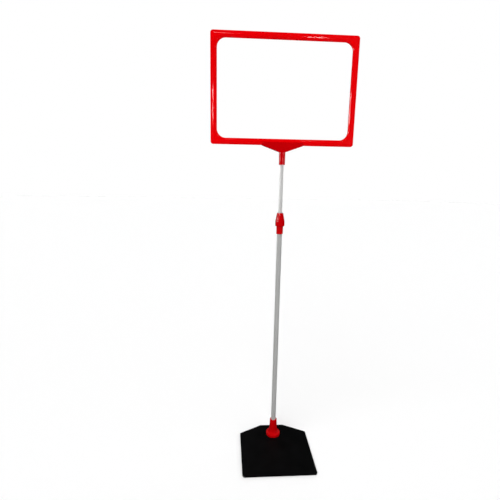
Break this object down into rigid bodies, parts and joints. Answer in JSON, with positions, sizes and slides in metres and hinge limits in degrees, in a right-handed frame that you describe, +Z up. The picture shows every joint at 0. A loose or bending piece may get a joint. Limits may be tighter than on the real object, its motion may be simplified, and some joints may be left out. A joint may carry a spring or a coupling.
{
  "type": "sign stand",
  "caption": "Floor sign stand: landscape poster frame swivelling on a telescopic clamped mast above a flat steel base plate.",
  "frame": {"origin": "on the floor, under the centre of the base plate", "axes": "+X right seen from the front, +Y to the back, +Z up; the sign faces -Y; the mast stands at x 0, y 72 mm"},
  "size_m": [0.439, 0.236, 1.322],
  "materials": {
    "red_plastic": "glossy moulded plastic",
    "black_steel": "satin powder coat",
    "satin_aluminium": "satin anodised",
    "black_plastic": "matte moulded",
    "white_plastic": "natural acetal",
    "pad_rubber": "matte",
    "zinc_steel": "zinc plated"
  },
  "bodies": {
    "base": {"base_plate": "black_steel", "floor_pad_1": "pad_rubber", "floor_pad_2": "pad_rubber", "floor_pad_3": "pad_rubber", "floor_pad_4": "pad_rubber", "floor_pad_5": "pad_rubber", "floor_pad_6": "pad_rubber", "base_flange": "red_plastic", "base_screw": "zinc_steel", "foot_plug": "black_plastic", "outer_tube": "satin_aluminium", "clamp_collar": "red_plastic"},
    "wedge": {"wedge_ring": "white_plastic"},
    "nut": {"clamp_nut": "red_plastic"},
    "slider": {"inner_tube": "satin_aluminium", "guide_bush": "black_plastic", "swivel_plug": "black_plastic"},
    "head": {"t_connector": "red_plastic", "connector_pins": "red_plastic", "frame_front": "red_plastic", "frame_back": "red_plastic"}
  },
  "joints": [
    {"name": "height", "type": "slide", "parent": "base", "child": "slider", "axis": [0, 0, 1], "range_m": [-0.146, 0.41]},
    {"name": "swivel", "type": "hinge", "parent": "slider", "child": "head", "pos_m": [0, 0.072, 0.97], "axis": [0, 0, 1], "continuous": true},
    {"name": "clamp_lift", "type": "slide", "parent": "base", "child": "wedge", "axis": [0, 0, 1], "range_m": [0, 0.0015]},
    {"name": "clamp_turn", "type": "hinge", "parent": "wedge", "child": "nut", "pos_m": [0, 0.072, 0.78], "axis": [0, 0, 1], "range_deg": [0, 269]}
  ],
  "couplings": [
    {"joint": "clamp_lift", "follows": "clamp_turn", "m_per_rad": 0.00031831}
  ]
}
